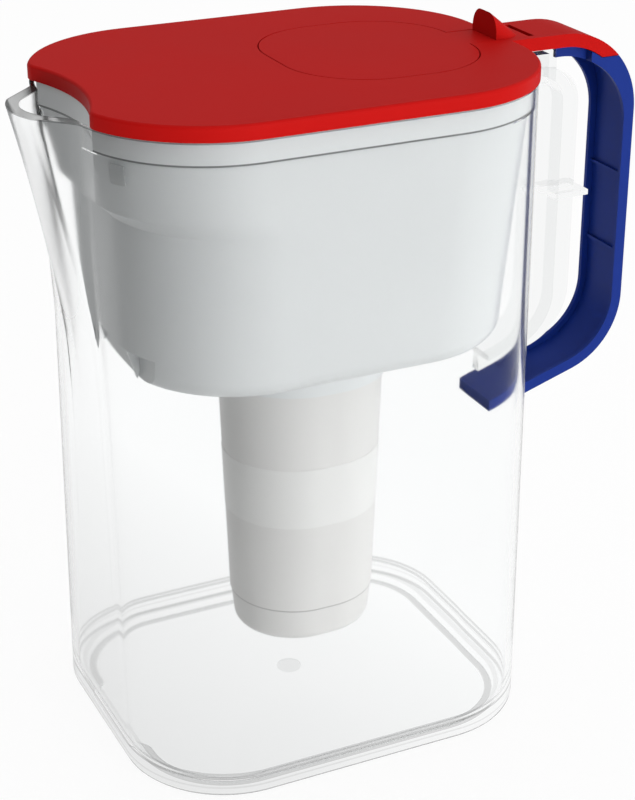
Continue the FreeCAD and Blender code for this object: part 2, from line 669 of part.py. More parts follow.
def hatch_outline(grow, z):
    wire = outline(HATCH_HALF_LENGTH + grow, HATCH_HALF_LENGTH + grow, HATCH_HALF_WIDTH + grow,
                   HATCH_CORNER + grow, z)
    wire.translate(V(HATCH_X, 0, 0))
    return wire


def lid_cover(inset, z, height):
    """Lid outline with the spout's scallop taken out and the two points beside it rounded off."""
    cover = prism(lid_outline(inset, z), height).cut(scallop(inset, z, height))
    points = [e for e in cover.Edges if e.BoundBox.ZLength > height / 2 and e.BoundBox.XMax < -SCALLOP_X
              and min(abs(e.BoundBox.YMin), abs(e.BoundBox.YMax)) > SPOUT_HALF_WIDTH
              and abs(e.CenterOfMass.y) < LID_HALF_WIDTH - LID_CORNER / 2]
    return cover.makeFillet(SCALLOP_ROUND - inset, points)


def lid():
    cover = lid_cover(0, LID_BOTTOM, LID_HEIGHT)
    cover = cover.makeFillet(LID_EDGE_ROUND, edges_at(cover, LID_TOP))
    cover = cover.cut(lid_cover(LID_SKIRT_WALL, LID_BOTTOM, LID_HEIGHT - LID_PLATE))
    plug_inset = RIM_WALL + FIT_GAP + BAND_WALL + PLUG_GAP + LID_HALF_LENGTH - RIM_HALF_LENGTH
    plug_bottom = LID_BOTTOM - PLUG_DEPTH
    plug_height = LID_UNDER - plug_bottom
    plug_scallop = SCALLOP_LAND + TUB_WALL + PLUG_GAP
    plug = prism(lid_outline(plug_inset, plug_bottom), plug_height).cut(
        scallop(plug_scallop, plug_bottom, plug_height))
    plug = plug.cut(prism(lid_outline(plug_inset + PLUG_WALL, plug_bottom), plug_height).cut(
        scallop(plug_scallop + PLUG_WALL, plug_bottom, plug_height)))
    tail = strip(outer_line(0, TAIL_ROOT, RIM_HALF_LENGTH),
                 outer_line(TAIL_THICKNESS, TAIL_ROOT, RIM_HALF_LENGTH), TAIL_HALF_WIDTH)
    tail = tail.common(slab(V(0, -TAIL_HALF_WIDTH, TAIL_END_Z),
                            V(2 * HANDLE_OUT, TAIL_HALF_WIDTH, LID_TOP)))
    lip_bottom = LIP_TOP - LIP_THICKNESS
    lip = prism(hatch_outline(LIP_WALL, lip_bottom), LID_TOP - LID_EDGE_ROUND - lip_bottom)
    opening = prism(hatch_outline(0, LIP_TOP), LID_TOP - LIP_TOP)
    throat = prism(hatch_outline(-LIP_WIDTH, plug_bottom), LID_TOP - plug_bottom)
    half = TAB_HALF_WIDTH + SLOT_GAP
    neck_slot = slab(V(HATCH_END - NECK_ROOT, -half, LIP_TOP), V(HINGE_X, half, LID_TOP))
    heel_radius = math.hypot(TAB_HEEL, KNUCKLE_RADIUS) + SLOT_GAP
    heel_slot = rod(heel_radius, half, HINGE_X, HINGE_Z).common(
        slab(V(0, -half, HINGE_Z), V(HANDLE_OUT, half, LID_TOP)))
    knuckle_slot = rod(KNUCKLE_RADIUS + SLOT_GAP, half, HINGE_X, HINGE_Z)
    pin_hole = rod(PIN_RADIUS + PIN_CLEARANCE, TAB_HALF_WIDTH + PIN_REACH + SEAT_GAP, HINGE_X, HINGE_Z)
    solid = cover.fuse([plug, tail, lip])
    slots = opening.fuse([throat, neck_slot, heel_slot, knuckle_slot])
    return solid.cut(slots).cut(pin_hole).removeSplitter()


def refill_door():
    """Door plate, its neck, the thumb tab and the knuckle with its two pins."""
    plate = prism(hatch_outline(-HATCH_GAP, LID_UNDER), LID_PLATE)
    neck_top = HINGE_Z + KNUCKLE_RADIUS
    neck = slab(V(HATCH_END - NECK_ROOT, -TAB_HALF_WIDTH, LID_UNDER), V(HINGE_X, TAB_HALF_WIDTH, neck_top))
    heel = HINGE_X - TAB_HEEL
    points = [V(TAB_X, 0, LID_UNDER), V(TAB_X, 0, LID_TOP + TAB_HEIGHT), V(heel, 0, neck_top),
              V(heel, 0, LID_UNDER)]
    tab = across(polygon(points), TAB_HALF_WIDTH)
    ridges = [e for e in tab.Edges if e.BoundBox.YLength < SEAT_GAP and e.BoundBox.ZLength > LID_PLATE
              and e.BoundBox.XLength > LID_PLATE]
    tab = tab.makeFillet(TAB_ROUND, ridges)
    knuckle = rod(KNUCKLE_RADIUS, TAB_HALF_WIDTH, HINGE_X, HINGE_Z)
    pins = rod(PIN_RADIUS, TAB_HALF_WIDTH + PIN_REACH, HINGE_X, HINGE_Z)
    return plate.fuse([neck, tab, knuckle, pins]).removeSplitter()


def build():
    """Every piece by its name."""
    solid = jug_solid()
    return {
        "pitcher_body": pitcher_body(solid),
        "handle_frame": handle_frame(solid),
        "handle_grip": handle_grip(solid),
        "reservoir": reservoir(),
        "filter_housing": filter_housing(),
        "filter_base": filter_base(),
        "filter_cap": filter_cap(),
        "filter_seal": filter_seal(),
        "filter_media": filter_media(),
        "top_screen": top_screen(),
        "bottom_screen": bottom_screen(),
        "lid": lid(),
        "refill_door": refill_door(),
    }


os.makedirs("parts", exist_ok=True)
for name, piece in build().items():
    box = piece.BoundBox
    print(f"{name}: {len(piece.Solids)} solid, valid {piece.isValid()}, volume {piece.Volume:.0f} mm3, "
          f"X {box.XMin:.1f} to {box.XMax:.1f}, Y {box.YMin:.1f} to {box.YMax:.1f}, "
          f"Z {box.ZMin:.1f} to {box.ZMax:.1f}")
    piece.exportStep(f"parts/{name}.step")
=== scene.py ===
# %% [markdown]
# # A water filter pitcher
# The object is a clear jug with a beak-shaped spout and a C-shaped handle. A grey reservoir hangs in its
# mouth, a white cartridge hangs through the reservoir's floor, and a red lid with a refill door covers both.
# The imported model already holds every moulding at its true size, so this lesson starts by loading it.

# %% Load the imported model
import json
import math
import bpy
import numpy as np
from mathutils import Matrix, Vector


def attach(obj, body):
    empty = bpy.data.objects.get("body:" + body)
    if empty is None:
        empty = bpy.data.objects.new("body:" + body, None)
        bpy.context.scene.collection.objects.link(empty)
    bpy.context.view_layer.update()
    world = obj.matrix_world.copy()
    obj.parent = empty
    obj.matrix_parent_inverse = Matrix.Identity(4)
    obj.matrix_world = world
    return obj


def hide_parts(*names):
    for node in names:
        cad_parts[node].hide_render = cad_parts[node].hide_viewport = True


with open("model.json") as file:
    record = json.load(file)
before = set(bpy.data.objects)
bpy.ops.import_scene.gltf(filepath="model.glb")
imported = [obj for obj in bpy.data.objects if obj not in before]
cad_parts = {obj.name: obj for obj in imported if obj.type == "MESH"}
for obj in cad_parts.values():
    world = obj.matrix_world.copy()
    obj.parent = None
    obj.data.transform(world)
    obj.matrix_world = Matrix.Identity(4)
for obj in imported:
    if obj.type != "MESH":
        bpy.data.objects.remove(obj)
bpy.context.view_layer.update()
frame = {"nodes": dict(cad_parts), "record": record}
nodes = frame["nodes"]
print("nodes:", sorted(nodes))

# %% [markdown]
# ## The camera
# The photograph looks down on the pitcher from its spout side. A long lens from about three quarters of a
# metre keeps the verticals nearly parallel, as they are in the picture, so the camera is placed by two
# angles and a distance round the point it looks at.

# %% Camera
FRAME_HEIGHT_PX = 800
FOCAL_PX = 1935.0
SENSOR_MM = 36.0
LOOK_AT = Vector((0.01365, 0.0, 0.1264))
AZIMUTH, ELEVATION, DISTANCE = -25.42, 24.9, 0.780


def around(azimuth, elevation, distance):
    """Point at a distance from the look-at point: azimuth turns from -Y to +X, elevation is up from level."""
    turn, rise = math.radians(azimuth), math.radians(elevation)
    flat = distance * math.cos(rise)
    return LOOK_AT + Vector((flat * math.sin(turn), -flat * math.cos(turn), distance * math.sin(rise)))


def aimed(name, data, place):
    """Object with that data at a place, facing the look-at point."""
    obj = bpy.data.objects.new(name, data)
    obj.location = place
    obj.rotation_euler = (LOOK_AT - place).to_track_quat("-Z", "Y").to_euler()
    bpy.context.scene.collection.objects.link(obj)
    return obj


camera_data = bpy.data.cameras.new("camera")
camera_data.sensor_fit = "VERTICAL"
camera_data.sensor_height = SENSOR_MM
camera_data.lens = FOCAL_PX / FRAME_HEIGHT_PX * SENSOR_MM
camera = aimed("camera", camera_data, around(AZIMUTH, ELEVATION, DISTANCE))
bpy.context.scene.camera = camera
print("camera at", tuple(round(c, 3) for c in camera.location), "lens", round(camera_data.lens, 1), "mm")

# %% [markdown]
# ## Floor and light
# A catalogue picture of clear plastic is lit from all round, in a white tent whose open side is at the
# front left. The world is that tent: white behind the object, dark towards its open side for the opaque
# mouldings, pale grey there for the edges of the clear ones, and weaker in reflections. One soft lamp adds
# the bright rim of the lid. The floor glows for rays that reach it through the plastic, less on the open
# side, and for most of what the camera sees of it, and keeps a soft shadow.


# %% Helpers for shader nodes
def shade(tree, kind, links=None, **values):
    """New shader node: values go on its inputs by name, with _ for a space, and links join others to it."""
    made = tree.nodes.new("ShaderNode" + kind)
    for key, value in values.items():
        made.inputs[key.replace("_", " ")].default_value = value
    for key, source in (links or {}).items():
        tree.links.new(source, made.inputs[key])
    return made


def joined(tree, operation, first, second):
    """Math node on two sockets or numbers."""
    made = shade(tree, "Math")
    made.operation = operation
    for socket, value in zip(made.inputs, (first, second)):
        if isinstance(value, (int, float)):
            socket.default_value = value
        else:
            tree.links.new(value, socket)
    return made.outputs[0]


# %% The tent's open side
OPEN_AZIMUTH = -74
OPEN_SIDE = (around(OPEN_AZIMUTH, 0, 1.0) - LOOK_AT).normalized()


def towards_open(tree, place, low, high, least):
    """1 where a vector reaches less than low towards the open side, down to the least from high on."""
    reach = shade(tree, "VectorMath", {0: place})
    reach.operation = "DOT_PRODUCT"
    reach.inputs[1].default_value = OPEN_SIDE
    fall = shade(tree, "MapRange", {"Value": reach.outputs["Value"]}, From_Min=low, From_Max=high,
                 To_Min=1.0, To_Max=least)
    return fall.outputs["Result"]


def at_least_on_edges(tree, path, light, least):
    """Light that doesn't fall below the least for rays that no opaque surface has scattered yet."""
    scattered = joined(tree, "MINIMUM", path.outputs["Diffuse Depth"], 1)
    edge = joined(tree, "MULTIPLY", joined(tree, "SUBTRACT", 1, scattered), least)
    return joined(tree, "MAXIMUM", light, edge)


print("open side:", tuple(round(c, 3) for c in OPEN_SIDE))

# %% World
scene = bpy.context.scene
scene.view_settings.view_transform = "Standard"
WHITE_RGBA = (1, 1, 1, 1)
DIMS_FROM, OPEN_FROM = 0.2, 0.8
OPEN_LIGHT = 0.04
EDGE_LIGHT = 0.55
REFLECTED_LOSS = 0.7

world = bpy.data.worlds.new("studio")
scene.world = world
world.use_nodes = True
tree = world.node_tree
tree.nodes.clear()
path = shade(tree, "LightPath")
ray = shade(tree, "TexCoord").outputs["Generated"]
glow = towards_open(tree, ray, DIMS_FROM, OPEN_FROM, OPEN_LIGHT)
glow = at_least_on_edges(tree, path, glow, EDGE_LIGHT)
mirrored = joined(tree, "SUBTRACT", path.outputs["Is Glossy Ray"], path.outputs["Is Transmission Ray"])
loss = joined(tree, "MULTIPLY", joined(tree, "MAXIMUM", mirrored, 0), -REFLECTED_LOSS)
strength = joined(tree, "MULTIPLY", glow, joined(tree, "ADD", loss, 1))
strength = joined(tree, "MAXIMUM", strength, path.outputs["Is Camera Ray"])
light = shade(tree, "Background", {"Strength": strength}, Color=WHITE_RGBA)
shade(tree, "OutputWorld", {"Surface": light.outputs[0]})
print("world:", len(tree.nodes), "nodes")


# %% Lamp
def lamp(name, azimuth, elevation, distance, width, watts):
    """Square soft lamp at an angle round the object, facing it."""
    data = bpy.data.lights.new(name, "AREA")
    data.size = width
    data.energy = watts
    return aimed(name, data, around(azimuth, elevation, distance))


key = lamp("key_lamp", azimuth=10, elevation=8, distance=1.7, width=1.0, watts=13)
print("key_lamp at", tuple(round(c, 2) for c in key.location))

# %% Floor
FLOOR_HALF = 3.0
FLOOR_Z = -0.0004
FLOOR_WHITE = (0.95, 0.95, 0.95, 1)
FLOOR_GLOW = 0.92
FLOOR_DIMS_FROM, FLOOR_OPEN_FROM = -0.08, 0.6
OPEN_FLOOR_LIGHT = 0.2
EDGE_FLOOR_LIGHT = 0.72

floor_mesh = bpy.data.meshes.new("floor")
corners = [(x * FLOOR_HALF, y * FLOOR_HALF, FLOOR_Z) for x, y in ((-1, -1), (1, -1), (1, 1), (-1, 1))]
floor_mesh.from_pydata(corners, [], [(0, 1, 2, 3)])
floor = bpy.data.objects.new("floor", floor_mesh)
scene.collection.objects.link(floor)
floor_material = bpy.data.materials.new("pale_floor")
floor_material.use_nodes = True
tree = floor_material.node_tree
tree.nodes.clear()
path = shade(tree, "LightPath")
paint = shade(tree, "BsdfDiffuse", Color=FLOOR_WHITE)
spot = shade(tree, "TexCoord").outputs["Object"]
spread = towards_open(tree, spot, FLOOR_DIMS_FROM, FLOOR_OPEN_FROM, OPEN_FLOOR_LIGHT)
spread = at_least_on_edges(tree, path, spread, EDGE_FLOOR_LIGHT)
spread = joined(tree, "MAXIMUM", spread, path.outputs["Is Camera Ray"])
glow = shade(tree, "Emission", {"Strength": spread}, Color=WHITE_RGBA)
part = joined(tree, "MULTIPLY", path.outputs["Is Camera Ray"], FLOOR_GLOW)
part = joined(tree, "MAXIMUM", part, path.outputs["Is Transmission Ray"])
mixed = shade(tree, "MixShader", {0: part, 1: paint.outputs[0], 2: glow.outputs[0]})
shade(tree, "OutputMaterial", {"Surface": mixed.outputs[0]})
floor_mesh.materials.append(floor_material)
print("floor:", 2 * FLOOR_HALF, "m square at", FLOOR_Z)

# %% [markdown]
# ## Finishes
# Each moulding has its own plastic. A finish is a Principled shader whose colour and roughness are broken up
# by noise at the scale of the real surface, with a fine bump for the texture that the mould leaves. A picture
# could carry the same, but it would need every piece unwrapped; noise on Object coordinates doesn't.

# %% A helper for moulded plastic
DRIFT_PER_METRE = 18.0
RELIEF_M = 0.0002


def moulded(name, colour, roughness, grain, bump, spread=0.05, specular=0.5):
    """Plastic: colour and roughness drift by a share, over a mould grain of so many cells per metre."""
    material = bpy.data.materials.new(name)
    material.use_nodes = True
    tree = material.node_tree
    shader = tree.nodes["Principled BSDF"]
    shader.inputs["Specular IOR Level"].default_value = specular
    place = shade(tree, "TexCoord").outputs["Object"]
    drift = shade(tree, "TexNoise", {"Vector": place}, Scale=DRIFT_PER_METRE, Detail=4.0).outputs["Fac"]
    tint = shade(tree, "ValToRGB", {"Fac": drift})
    for stop, share in zip(tint.color_ramp.elements, (1 - spread, 1 + spread)):
        stop.color = (*(min(1.0, c * share) for c in colour), 1)
    tree.links.new(tint.outputs["Color"], shader.inputs["Base Color"])
    rough = shade(tree, "MapRange", {"Value": drift}, To_Min=roughness * (1 - 2 * spread),
                  To_Max=roughness * (1 + 2 * spread))
    tree.links.new(rough.outputs["Result"], shader.inputs["Roughness"])
    texture = shade(tree, "TexNoise", {"Vector": place}, Scale=grain)
    relief = shade(tree, "Bump", {"Height": texture.outputs["Fac"]}, Strength=bump, Distance=RELIEF_M)
    tree.links.new(relief.outputs["Normal"], shader.inputs["Normal"])
    return material, shader


# %% Opaque finishes
RED = (0.52, 0.007, 0.006)
BLUE = (0.010, 0.032, 0.235)
GREY = (0.755, 0.775, 0.78)
WHITE = (0.75, 0.745, 0.735)
LABEL = (0.80, 0.80, 0.79)
RUBBER = (0.5, 0.5, 0.49)

red, _ = moulded("red_satin_plastic", RED, roughness=0.45, grain=1500, bump=0.10, specular=0.03)
blue, _ = moulded("blue_plastic", BLUE, roughness=0.35, grain=1200, bump=0.06, specular=0.08)
rubber, _ = moulded("pale_seal_rubber", RUBBER, roughness=0.7, grain=1600, bump=0.2)
grey, grey_shader = moulded(
    "grey_reservoir_plastic", GREY, roughness=0.30, grain=900, bump=0.04, spread=0.02, specular=0.2)
white_plastic, white_shader = moulded(
    "white_cartridge_plastic", WHITE, roughness=0.45, grain=1400, bump=0.08, spread=0.02, specular=0.2)
label_paper, _ = moulded(
    "pale_label", LABEL, roughness=0.4, grain=2200, bump=0.05, spread=0.015, specular=0.2)
print("opaque finishes: red, blue, grey, white, label and seal")

# %% [markdown]
# The clear mouldings let light through. Real clear plastic bends it more than is written here, but then the
# thin walls of the jug trap rays and show black streaks, so the bend is kept small. The two lugs are frosted:
# they let only a part of the light through and scatter it.

# %% Clear finishes
CLEAR = (0.985, 0.99, 0.99)
CLEAR_FRAME = (0.925, 0.93, 0.93)
LUG = (0.84, 0.85, 0.85)
JUG_BEND, FRAME_BEND = 1.08, 1.06
LUG_SHARE = 0.7

clear, jug_glass = moulded("clear_jug_plastic", CLEAR, roughness=0.10, grain=60, bump=0.02, spread=0.005)
clear_frame, frame_glass = moulded(
    "clear_frame_plastic", CLEAR_FRAME, roughness=0.02, grain=60, bump=0.02, spread=0.005)
lug_plastic, lug_glass = moulded(
    "frosted_lug_plastic", LUG, roughness=0.35, grain=900, bump=0.05, spread=0.02, specular=0.2)
passing = ((jug_glass, 1.0, JUG_BEND), (frame_glass, 1.0, FRAME_BEND), (lug_glass, LUG_SHARE, JUG_BEND))
for shader, share, bend in passing:
    shader.inputs["Transmission Weight"].default_value = share
    shader.inputs["IOR"].default_value = bend
print("clear finishes: jug, handle frame and lugs")

# %% [markdown]
# The reservoir hangs by its band on the jug's ledge. The gap under the band is too fine for light to reach
# into, so painted shade darkens the reservoir's colour along that line. The top of the jug's rim shows as a
# grey lip at the spout, and the round edges of its foot and floor and the gate button show as grey lines, so
# painted shade darkens the jug's colour there in the same way. The cartridge's colour is darkened along the
# fine seam between its tube and its bottom cup.

# %% The line under the band, the jug's edges and the seam
BAND_LINE_Z, BAND_LINE_HALF, BAND_SHADE_LOSS = 0.2532, 0.0004, 0.7
RIM_Z, RIM_DEPTH, RIM_SHADE_LOSS = 0.262, 0.0005, 0.7
FOOT_Z, FLOOR_EDGE_Z, FOOT_LINE_HALF, FOOT_SHADE_LOSS = 0.0012, 0.0088, 0.0006, 0.45
GATE_Z, GATE_LINE_HALF, GATE_SHADE_LOSS = 0.0046, 0.0004, 0.2
SEAM_LINE_Z, SEAM_LINE_HALF, SEAM_LINE_LOSS = 0.046, 0.0004, 0.4


def darkened(material, shader, z, half, loss):
    """Finish whose colour loses a share of its value within half of a height."""
    tree = material.node_tree
    place = shade(tree, "TexCoord").outputs["Object"]
    near = shade(tree, "Math", {0: shade(tree, "SeparateXYZ", {"Vector": place}).outputs["Z"]})
    near.operation = "COMPARE"
    near.inputs[1].default_value = z
    near.inputs[2].default_value = half
    kept = joined(tree, "ADD", joined(tree, "MULTIPLY", near.outputs[0], -loss), 1)
    tint = shader.inputs["Base Color"].links[0].from_socket
    toned = shade(tree, "HueSaturation", {"Color": tint, "Value": kept})
    tree.links.new(toned.outputs["Color"], shader.inputs["Base Color"])


# painted shade: a dark line on the reservoir's colour under its band
darkened(grey, grey_shader, BAND_LINE_Z, BAND_LINE_HALF, BAND_SHADE_LOSS)
# painted shade: a grey lip on the jug's colour at the top of its rim
darkened(clear, jug_glass, RIM_Z, RIM_DEPTH, RIM_SHADE_LOSS)
# painted shade: grey lines on the jug's colour at the round edges of its foot and floor
for edge_z in (FOOT_Z, FLOOR_EDGE_Z):
    darkened(clear, jug_glass, edge_z, FOOT_LINE_HALF, FOOT_SHADE_LOSS)
# painted shade: a grey ring on the jug's colour round the gate button
darkened(clear, jug_glass, GATE_Z, GATE_LINE_HALF, GATE_SHADE_LOSS)
darkened(white_plastic, white_shader, SEAM_LINE_Z, SEAM_LINE_HALF, SEAM_LINE_LOSS)
print("lines at z:", BAND_LINE_Z, RIM_Z, FOOT_Z, FLOOR_EDGE_Z, GATE_Z, SEAM_LINE_Z)

# %% [markdown]
# The spout's folded wall is less polished than the rest of the jug, and so it scatters the light that runs
# along it. Its roughness grows from the end wall of the jug out to the beak.

# %% The spout's finish
SPOUT_X, SPOUT_BLEND, SPOUT_ROUGHNESS = -0.089, 0.004, 0.28

tree = clear.node_tree
place = shade(tree, "TexCoord").outputs["Object"]
reach = shade(tree, "SeparateXYZ", {"Vector": place}).outputs["X"]
spout = shade(tree, "MapRange", {"Value": reach}, From_Min=SPOUT_X, From_Max=SPOUT_X + SPOUT_BLEND,
              To_Min=SPOUT_ROUGHNESS, To_Max=0.0)
polish = jug_glass.inputs["Roughness"].links[0].from_socket
worn = joined(tree, "MAXIMUM", polish, spout.outputs["Result"])
tree.links.new(worn, jug_glass.inputs["Roughness"])
print("spout: roughness", SPOUT_ROUGHNESS, "beyond x", SPOUT_X)

# %% [markdown]
# The bed in the cartridge is a mix of black carbon and amber resin beads, each about a millimetre across.
# Modelled one by one they would need millions of faces, so Voronoi cells give every bead its own colour and a
# rounded relief. The two screens are woven, which two sets of bands at right angles stand for.

# %% Granules and woven screens
BEADS_PER_METRE, BEAD_RELIEF_M, BEAD_BUMP, BEAD_ROUGHNESS = 900.0, 0.0005, 0.8, 0.8
THREADS_PER_METRE, THREAD_RELIEF_M, THREAD_BUMP, THREAD_ROUGHNESS = 700.0, 0.0003, 0.6, 0.7
FINE_GRAIN, FINE_BUMP = 4000, 0.3
CARBON, RESIN, RESIN_SHARE = (0.02, 0.02, 0.02), (0.42, 0.25, 0.09), 0.35
THREAD, HOLE = (0.8, 0.8, 0.78), (0.35, 0.35, 0.34)


def granules(name, dark, pale, pale_share):
    """Bed of beads: a cell picks the dark or pale colour by chance, and its distance is the relief."""
    material, shader = moulded(name, dark, BEAD_ROUGHNESS, FINE_GRAIN, FINE_BUMP)
    tree = material.node_tree
    place = shade(tree, "TexCoord").outputs["Object"]
    cells = shade(tree, "TexVoronoi", {"Vector": place}, Scale=BEADS_PER_METRE)
    chance = shade(tree, "SeparateColor", {"Color": cells.outputs["Color"]}).outputs[0]
    pick = shade(tree, "ValToRGB", {"Fac": chance})
    pick.color_ramp.interpolation = "CONSTANT"
    pick.color_ramp.elements[0].color = (*dark, 1)
    pick.color_ramp.elements[1].color = (*pale, 1)
    pick.color_ramp.elements[1].position = 1 - pale_share
    tree.links.new(pick.outputs["Color"], shader.inputs["Base Color"])
    relief = shade(tree, "Bump", {"Height": cells.outputs["Distance"]}, Strength=BEAD_BUMP,
                   Distance=BEAD_RELIEF_M)
    relief.invert = True
    tree.links.new(relief.outputs["Normal"], shader.inputs["Normal"])
    return material


def woven(name, thread, hole):
    """Plain weave: bands along X and along Y, whose larger value is the thread's height and colour."""
    material, shader = moulded(name, thread, THREAD_ROUGHNESS, FINE_GRAIN, FINE_BUMP)
    tree = material.node_tree
    place = shade(tree, "TexCoord").outputs["Object"]
    bands = []
    for direction in ("X", "Y"):
        wave = shade(tree, "TexWave", {"Vector": place}, Scale=THREADS_PER_METRE / math.tau)
        wave.bands_direction = direction
        bands.append(wave.outputs["Fac"])
    height = joined(tree, "MAXIMUM", *bands)
    colour = shade(tree, "ValToRGB", {"Fac": height})
    colour.color_ramp.elements[0].color = (*hole, 1)
    colour.color_ramp.elements[1].color = (*thread, 1)
    tree.links.new(colour.outputs["Color"], shader.inputs["Base Color"])
    relief = shade(tree, "Bump", {"Height": height}, Strength=THREAD_BUMP, Distance=THREAD_RELIEF_M)
    tree.links.new(relief.outputs["Normal"], shader.inputs["Normal"])
    return material


beads = granules("carbon_and_resin_beads", CARBON, RESIN, RESIN_SHARE)
screen_cloth = woven("woven_screen", THREAD, HOLE)
print("bead and screen finishes:", beads.name, screen_cloth.name)

# %% [markdown]
# ## Smooth mouldings
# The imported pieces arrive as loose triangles. Each gets a copy whose shared points are welded, so that its
# curved walls shade as one surface, while edges that turn by more than a set angle stay crisp.

# %% Welded copies
CREASE = math.radians(28)
WELD_M = 1e-6


def welded(name, material):
    """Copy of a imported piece: points on the same grid cell become one, and faces are renumbered to match."""
    source = nodes[name].data
    source.calc_loop_triangles()
    points = np.empty(len(source.vertices) * 3)
    source.vertices.foreach_get("co", points)
    faces = np.empty(len(source.loop_triangles) * 3, np.int32)
    source.loop_triangles.foreach_get("vertices", faces)
    cells = np.round(points.reshape(-1, 3) / WELD_M).astype(np.int64)
    _, first, merged = np.unique(cells, axis=0, return_index=True, return_inverse=True)
    triangles = merged.reshape(-1)[faces].reshape(-1, 3)
    whole = (triangles != np.roll(triangles, 1, axis=1)).all(axis=1)
    mesh = bpy.data.meshes.new(name + "_moulding")
    mesh.from_pydata(points.reshape(-1, 3)[first], [], triangles[whole])
    mesh.materials.append(material)
    mesh.shade_smooth()
    mesh.set_sharp_from_angle(angle=CREASE)
    obj = bpy.data.objects.new(name + "_moulding", mesh)
    scene.collection.objects.link(obj)
    evened = obj.modifiers.new("even_normals", "WEIGHTED_NORMAL")
    evened.keep_sharp = True
    return obj


# %% Dress every piece
FINISHES = {
    "handle_frame": clear_frame, "handle_grip": blue, "reservoir": grey,
    "filter_housing": white_plastic, "filter_base": white_plastic, "filter_cap": white_plastic,
    "filter_seal": rubber, "filter_media": beads, "top_screen": screen_cloth, "bottom_screen": screen_cloth,
    "lid": red, "refill_door": red,
}
bodies = frame["record"]["behaviour"]["bodies"]
for body, members in bodies.items():
    for name in (member for member in members if member in FINISHES):
        piece = welded(name, FINISHES[name])
        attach(piece, body)
        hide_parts(name)
        print(name, len(piece.data.vertices), "points", len(piece.data.polygons), "faces")

# %% [markdown]
# ## The clear jug
# Clear plastic shows every unevenness of its mesh twice, at its outer and at its inner skin, so the jug is
# drawn afresh as one smooth surface. Two parameters describe it: the place round its outline, and the place
# along a profile that starts under the foot, climbs the outside, crosses the rim and comes down inside.

# %% The jug's sizes, in millimetres
MM = 0.001
JUG_HEIGHT = 262.0
WAIST = 170.0
BASE_LEFT, WAIST_LEFT, RIM_REACH = 84.0, 84.4, 90.0
BASE_RIGHT = 85.2
BASE_HALF, RIM_HALF = 72.8, 70.2
BASE_CORNER, RIM_CORNER = 43.0, 51.5
WALL, RIM_WALL, FLOOR = 2.6, 1.8, 4.0
LEDGE = 252.6
BASE_ROUND, FLOOR_ROUND, RIM_ROUND = 2.8, 6.0, 0.4
GROOVE_OUT, GROOVE_IN, GROOVE_DEPTH = 8.0, 11.0, 0.8
GATE_RADIUS, GATE_TOP_RADIUS, GATE_HEIGHT = 5.0, 4.5, 0.8
BEAK_START, BEAK_REACH, BEAK_EMBED, BEAK_WALL = 96.0, 16.5, 0.5, 3.0
BEAK_HALF, BEAK_FOOT_HALF = 13.5, 21.0
BEAK_SAG, BEAK_FOOT_SAG = 3.6, 0.5
BEAK_BLEND, BEAK_LIMIT = 2.0, 37.0
LIP_EXTRA, LIP_HEIGHT = 1.6, 5.0
LUG_Y, LUG_LENGTH, LUG_LOW, LUG_TOP, LUG_DEPTH = 41.0, 8.0, 243.6, 250.6, 0.5
LUG_RIBS, LUG_WEB, LUG_GAP = 3, 0.15, 0.02
print("jug:", JUG_HEIGHT, "mm high, rim", 2 * RIM_REACH, "by", 2 * RIM_HALF)

# %% [markdown]
# The outline is a rounded rectangle. Each of its points belongs to a corner circle's centre, which slides
# along the straights, and to a direction, which turns along the corners. Both are read off at evenly spaced
# stations, so one formula serves straights and corners alike.

# %% Stations round the outline
STRAIGHT_STEPS = (16, 28, 56, 28)
CORNER_STEPS = 44


def stations():
    """Side along X and Y (-1 to 1) of the corner centre, and the direction in turns, at each station."""
    knots = np.arange(9.0)
    counts = np.array([[straight, CORNER_STEPS] for straight in STRAIGHT_STEPS]).ravel()
    steps = np.repeat(knots[:-1], counts) + np.concatenate([np.arange(n) / n for n in counts])
    side_x = np.interp(steps, knots, (1, 1, 1, -1, -1, -1, -1, 1, 1))
    side_y = np.interp(steps, knots, (-1, 1, 1, 1, 1, -1, -1, -1, -1))
    turns = np.interp(steps, knots, (0, 0, 0.25, 0.25, 0.5, 0.5, 0.75, 0.75, 1))
    return side_x, side_y, turns


def soft_min(a, b, reach):
    """The smaller of two values, rounded off where they are closer than reach."""
    closeness = np.clip(1 - np.abs(a - b) / reach, 0, 1)
    return np.minimum(a, b) - closeness ** 2 * reach / 4


def beak(y, z, skin):
    """X of the spout: the tip reaches out with the square of the height, flanks run back at 45 degrees."""
    share = (z - BEAK_START) / (JUG_HEIGHT - BEAK_START)
    bulge = BEAK_REACH * share * np.abs(share) - BEAK_EMBED
    inner = np.clip(share, 0, 1)
    sag = BEAK_FOOT_SAG + (BEAK_SAG - BEAK_FOOT_SAG) * inner
    half = BEAK_FOOT_HALF + (BEAK_HALF - BEAK_FOOT_HALF) * inner - skin / 2
    tip = skin - np.interp(z, (0, WAIST, JUG_HEIGHT), (BASE_LEFT, WAIST_LEFT, RIM_REACH)) - bulge
    lip = tip + sag * np.minimum(np.abs(y) / half, 1) ** 2
    return lip + np.maximum(np.abs(y) - half, 0)


